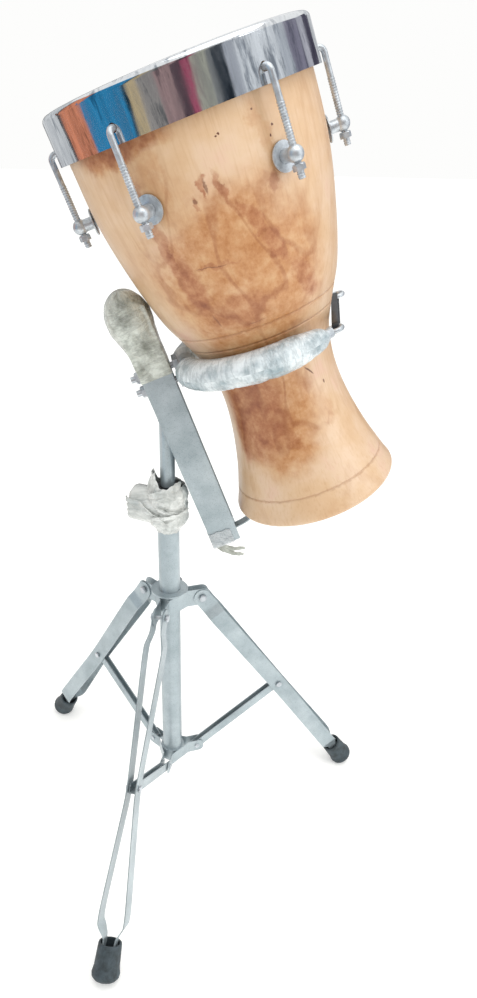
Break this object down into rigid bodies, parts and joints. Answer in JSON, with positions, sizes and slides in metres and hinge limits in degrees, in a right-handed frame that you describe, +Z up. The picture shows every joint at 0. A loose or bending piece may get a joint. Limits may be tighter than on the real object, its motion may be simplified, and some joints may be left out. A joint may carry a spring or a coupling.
{
  "type": "goblet hand drum on a folding stand",
  "caption": "Goblet-shaped wooden hand drum with a rod-tuned head, held leaning in a padded cradle on a height-adjustable folding tripod stand.",
  "frame": {"origin": "on the floor, on the axis of the tripod's upright tube", "axes": "+Z up, +X the way the drum leans away from the stand, +Y across the stand"},
  "size_m": [0.5069, 0.5309, 1.0624],
  "materials": {
    "silver_paint": "satin silver paint",
    "zinc_plate": "dull zinc plate",
    "cast_metal": "dark painted casting",
    "chrome": "mirror chrome",
    "steel_rod": "bare steel",
    "nylon": "moulded",
    "film": "crumpled clear film",
    "foam": "foam under clear film",
    "rubber": "moulded",
    "wood": "satin varnish",
    "skin": "shaved hide"
  },
  "bodies": {
    "root": {"base_tube": "silver_paint", "brace_spider": "silver_paint", "spider_rivets": "zinc_plate", "height_clamp": "cast_metal", "clamp_film": "film"},
    "leg_collar": {"leg_collar": "silver_paint", "leg_pivot_bolts": "zinc_plate"},
    "leg_right": {"leg_right_strip_a": "silver_paint", "leg_right_strip_b": "silver_paint", "leg_right_rivets": "zinc_plate", "foot_right": "rubber"},
    "brace_right": {"brace_right": "silver_paint"},
    "leg_left": {"leg_left_strip_a": "silver_paint", "leg_left_strip_b": "silver_paint", "leg_left_rivets": "zinc_plate", "foot_left": "rubber"},
    "brace_left": {"brace_left": "silver_paint"},
    "leg_front": {"leg_front_strip_a": "silver_paint", "leg_front_strip_b": "silver_paint", "leg_front_rivets": "zinc_plate", "foot_front": "rubber"},
    "brace_front": {"brace_front": "silver_paint"},
    "mast_bush": {"mast_bush": "nylon"},
    "mast": {"mast_tube": "silver_paint", "holder_channel": "silver_paint", "cradle_ring": "chrome", "cradle_nuts": "zinc_plate", "front_arm_pad": "foam", "back_arm_pad": "foam", "top_pad": "foam", "foot_hook": "silver_paint", "cradle_strap": "rubber"},
    "height_wing_bolt": {"height_wing_bolt": "cast_metal"},
    "collar_wing_bolt": {"collar_wing_bolt": "cast_metal"},
    "drum": {"drum_shell": "wood", "drum_head": "skin", "flesh_hoop": "steel_rod", "counter_hoop": "chrome", "hook_rods": "zinc_plate", "lug_posts": "zinc_plate", "lug_washers": "zinc_plate", "lug_inner_washers": "zinc_plate", "lug_inner_nuts": "zinc_plate"},
    "tuning_nut_1": {"tuning_nut_1": "zinc_plate"},
    "tuning_nut_2": {"tuning_nut_2": "zinc_plate"},
    "tuning_nut_3": {"tuning_nut_3": "zinc_plate"},
    "tuning_nut_4": {"tuning_nut_4": "zinc_plate"},
    "tuning_nut_5": {"tuning_nut_5": "zinc_plate"},
    "tuning_nut_6": {"tuning_nut_6": "zinc_plate"}
  },
  "joints": [
    {"name": "tripod_fold", "type": "slide", "parent": "root", "child": "leg_collar", "axis": [0, 0, 1], "range_m": [0, 0.085]},
    {"name": "leg_right_hinge", "type": "hinge", "parent": "leg_collar", "child": "leg_right", "pos_m": [0.04386, 0.0075, 0.377], "axis": [-0.1685, 0.9857, 0], "range_deg": [0, 19.32]},
    {"name": "brace_right_hinge", "type": "hinge", "parent": "root", "child": "brace_right", "pos_m": [0.03647, 0.00623, 0.1055], "axis": [0.1685, -0.9857, 0], "range_deg": [0, 31.62]},
    {"name": "leg_left_hinge", "type": "hinge", "parent": "leg_collar", "child": "leg_left", "pos_m": [-0.02843, 0.03424, 0.377], "axis": [-0.7694, -0.6388, 0], "range_deg": [0, 19.32]},
    {"name": "brace_left_hinge", "type": "hinge", "parent": "root", "child": "brace_left", "pos_m": [-0.02363, 0.02847, 0.1055], "axis": [0.7694, 0.6388, 0], "range_deg": [0, 31.62]},
    {"name": "leg_front_hinge", "type": "hinge", "parent": "leg_collar", "child": "leg_front", "pos_m": [-0.01544, -0.04174, 0.377], "axis": [0.9379, -0.3469, 0], "range_deg": [0, 19.32]},
    {"name": "brace_front_hinge", "type": "hinge", "parent": "root", "child": "brace_front", "pos_m": [-0.01284, -0.0347, 0.1055], "axis": [-0.9379, 0.3469, 0], "range_deg": [0, 31.62]},
    {"name": "mast_swivel", "type": "hinge", "parent": "root", "child": "mast_bush", "pos_m": [0, 0, 0.52], "axis": [0, 0, 1], "range_deg": [-90, 90]},
    {"name": "mast_slide", "type": "slide", "parent": "mast_bush", "child": "mast", "axis": [0, 0, 1], "range_m": [0, 0.15]},
    {"name": "height_wing_bolt_turn", "type": "hinge", "parent": "root", "child": "height_wing_bolt", "pos_m": [0, 0, 0.518], "axis": [-0.866, 0.5, 0], "range_deg": [0, 360]},
    {"name": "collar_wing_bolt_turn", "type": "hinge", "parent": "leg_collar", "child": "collar_wing_bolt", "pos_m": [0, 0, 0.383], "axis": [0.3469, 0.9379, 0], "range_deg": [0, 360]},
    {"name": "drum_turn", "type": "hinge", "parent": "mast", "child": "drum", "pos_m": [0.012, 0, 1.0127], "axis": [-0.3616, 0, 0.9323], "continuous": true},
    {"name": "tuning_nut_1_turn", "type": "hinge", "parent": "drum", "child": "tuning_nut_1", "pos_m": [0.19433, -0.00785, 0.95686], "axis": [-0.3616, 0, 0.9323], "continuous": true},
    {"name": "tuning_nut_2_turn", "type": "hinge", "parent": "drum", "child": "tuning_nut_2", "pos_m": [0.11816, -0.13365, 0.92731], "axis": [-0.3616, 0, 0.9323], "continuous": true},
    {"name": "tuning_nut_3_turn", "type": "hinge", "parent": "drum", "child": "tuning_nut_3", "pos_m": [-0.0215, -0.1258, 0.87314], "axis": [-0.3616, 0, 0.9323], "continuous": true},
    {"name": "tuning_nut_4_turn", "type": "hinge", "parent": "drum", "child": "tuning_nut_4", "pos_m": [-0.08499, 0.00785, 0.84852], "axis": [-0.3616, 0, 0.9323], "continuous": true},
    {"name": "tuning_nut_5_turn", "type": "hinge", "parent": "drum", "child": "tuning_nut_5", "pos_m": [-0.00882, 0.13365, 0.87806], "axis": [-0.3616, 0, 0.9323], "continuous": true},
    {"name": "tuning_nut_6_turn", "type": "hinge", "parent": "drum", "child": "tuning_nut_6", "pos_m": [0.13084, 0.1258, 0.93223], "axis": [-0.3616, 0, 0.9323], "continuous": true}
  ],
  "couplings": [
    {"joint": "leg_right_hinge", "follows": "tripod_fold", "rad_per_m": 3.9572},
    {"joint": "brace_right_hinge", "follows": "tripod_fold", "rad_per_m": 6.4816},
    {"joint": "leg_left_hinge", "follows": "tripod_fold", "rad_per_m": 3.9572},
    {"joint": "brace_left_hinge", "follows": "tripod_fold", "rad_per_m": 6.4816},
    {"joint": "leg_front_hinge", "follows": "tripod_fold", "rad_per_m": 3.9572},
    {"joint": "brace_front_hinge", "follows": "tripod_fold", "rad_per_m": 6.4816}
  ]
}
